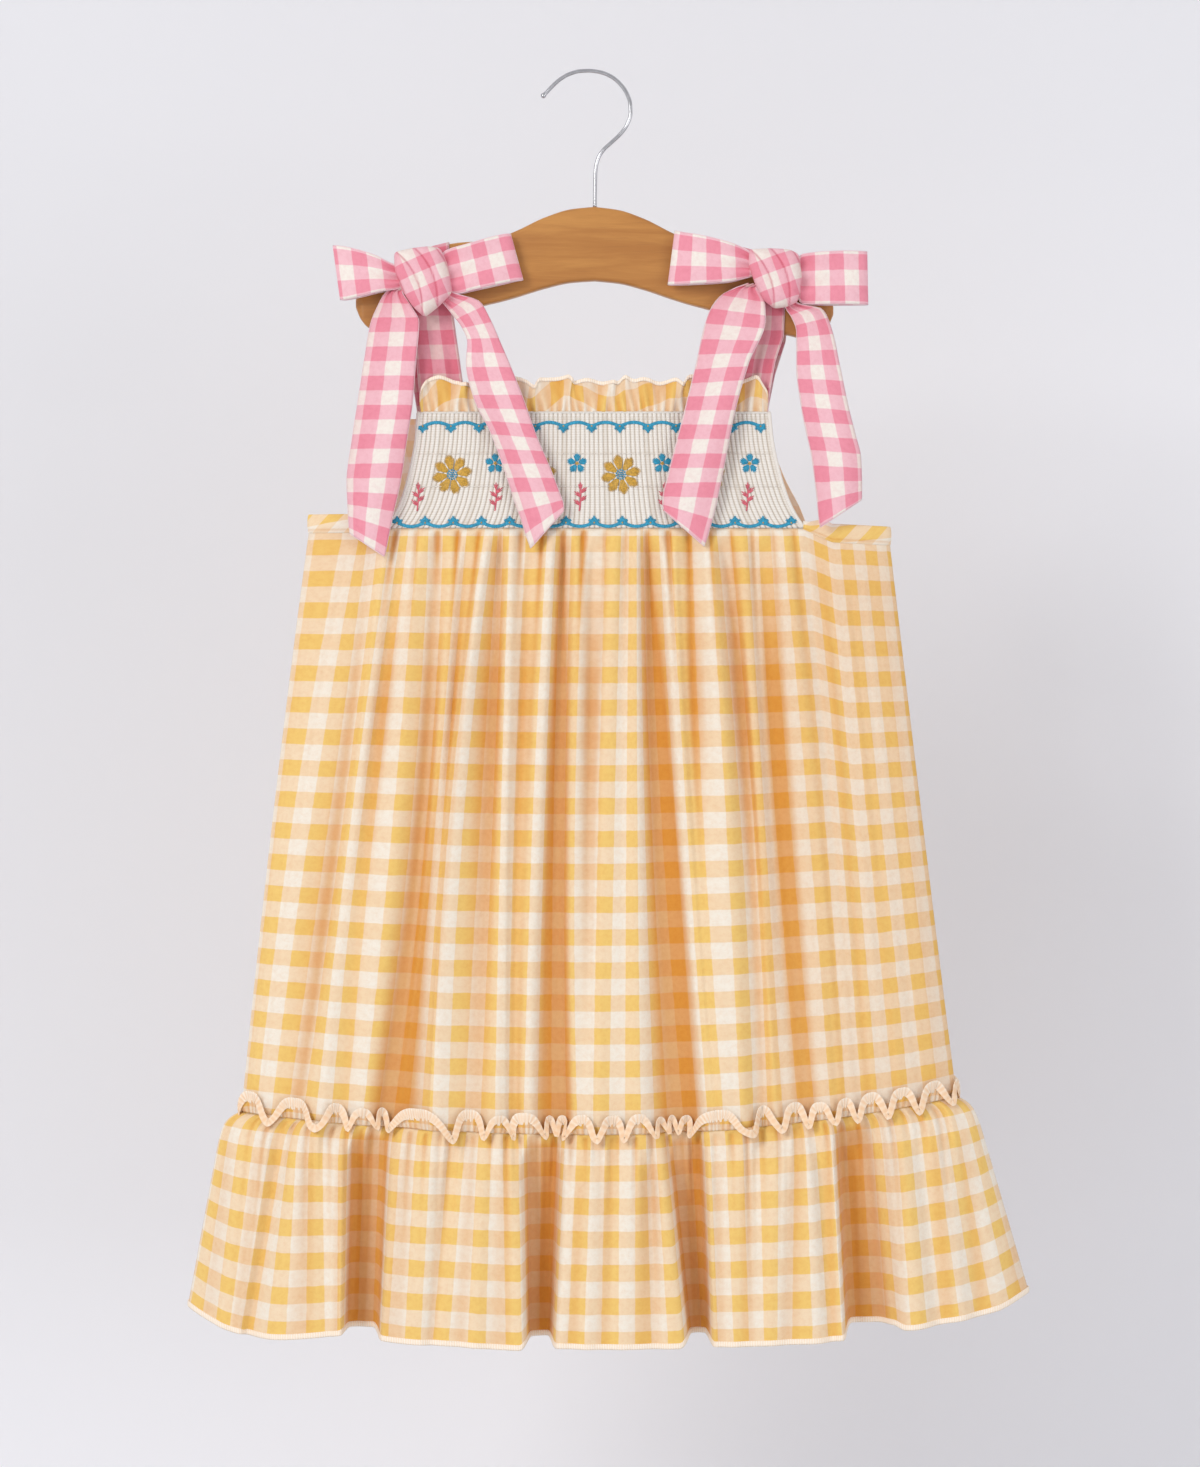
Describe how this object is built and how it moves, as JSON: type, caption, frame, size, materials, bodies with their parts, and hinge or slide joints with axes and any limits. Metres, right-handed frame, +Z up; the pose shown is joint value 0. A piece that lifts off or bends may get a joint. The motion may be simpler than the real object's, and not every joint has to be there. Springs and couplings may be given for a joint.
{
  "type": "smocked sundress on a child's hanger",
  "caption": "Child's smocked gingham sundress with tied ribbon straps and a gathered flounce, hung on a small wooden hanger with a wire hook.",
  "frame": {"origin": "Inside top of the hook, where it rests on a rail.", "axes": "+Z up, -Y towards the viewer (the dress's front), +X to the viewer's right."},
  "size_m": [0.5306, 0.098, 0.8022],
  "materials": {
    "yellow_gingham": "matte woven check",
    "pink_gingham": "matte woven check",
    "smocked_white": "matte smocked ribs",
    "peach_edging": "matte overlocked edge",
    "hanger_wood": "satin clear coat",
    "hook_chrome": "polished"
  },
  "bodies": {
    "root": {"front_skirt": "yellow_gingham", "back_skirt": "yellow_gingham", "flounce_front": "yellow_gingham", "flounce_back": "yellow_gingham", "flounce_heading_front": "peach_edging", "flounce_heading_back": "peach_edging", "front_bodice": "smocked_white", "back_bodice": "yellow_gingham", "neck_ruffle": "yellow_gingham", "underarm_band_left": "yellow_gingham", "underarm_band_right": "yellow_gingham", "strap_front_left": "pink_gingham", "strap_front_right": "pink_gingham", "strap_back_left": "pink_gingham", "strap_back_right": "pink_gingham", "bow_knot_left": "pink_gingham", "bow_knot_right": "pink_gingham", "bow_loop_outer_left": "pink_gingham", "bow_loop_inner_left": "pink_gingham", "bow_loop_inner_right": "pink_gingham", "bow_loop_outer_right": "pink_gingham", "bow_tail_outer_left": "pink_gingham", "bow_tail_inner_left": "pink_gingham", "bow_tail_inner_right": "pink_gingham", "bow_tail_outer_right": "pink_gingham", "hanger_body": "hanger_wood", "hanger_hook": "hook_chrome"}
  },
  "joints": []
}
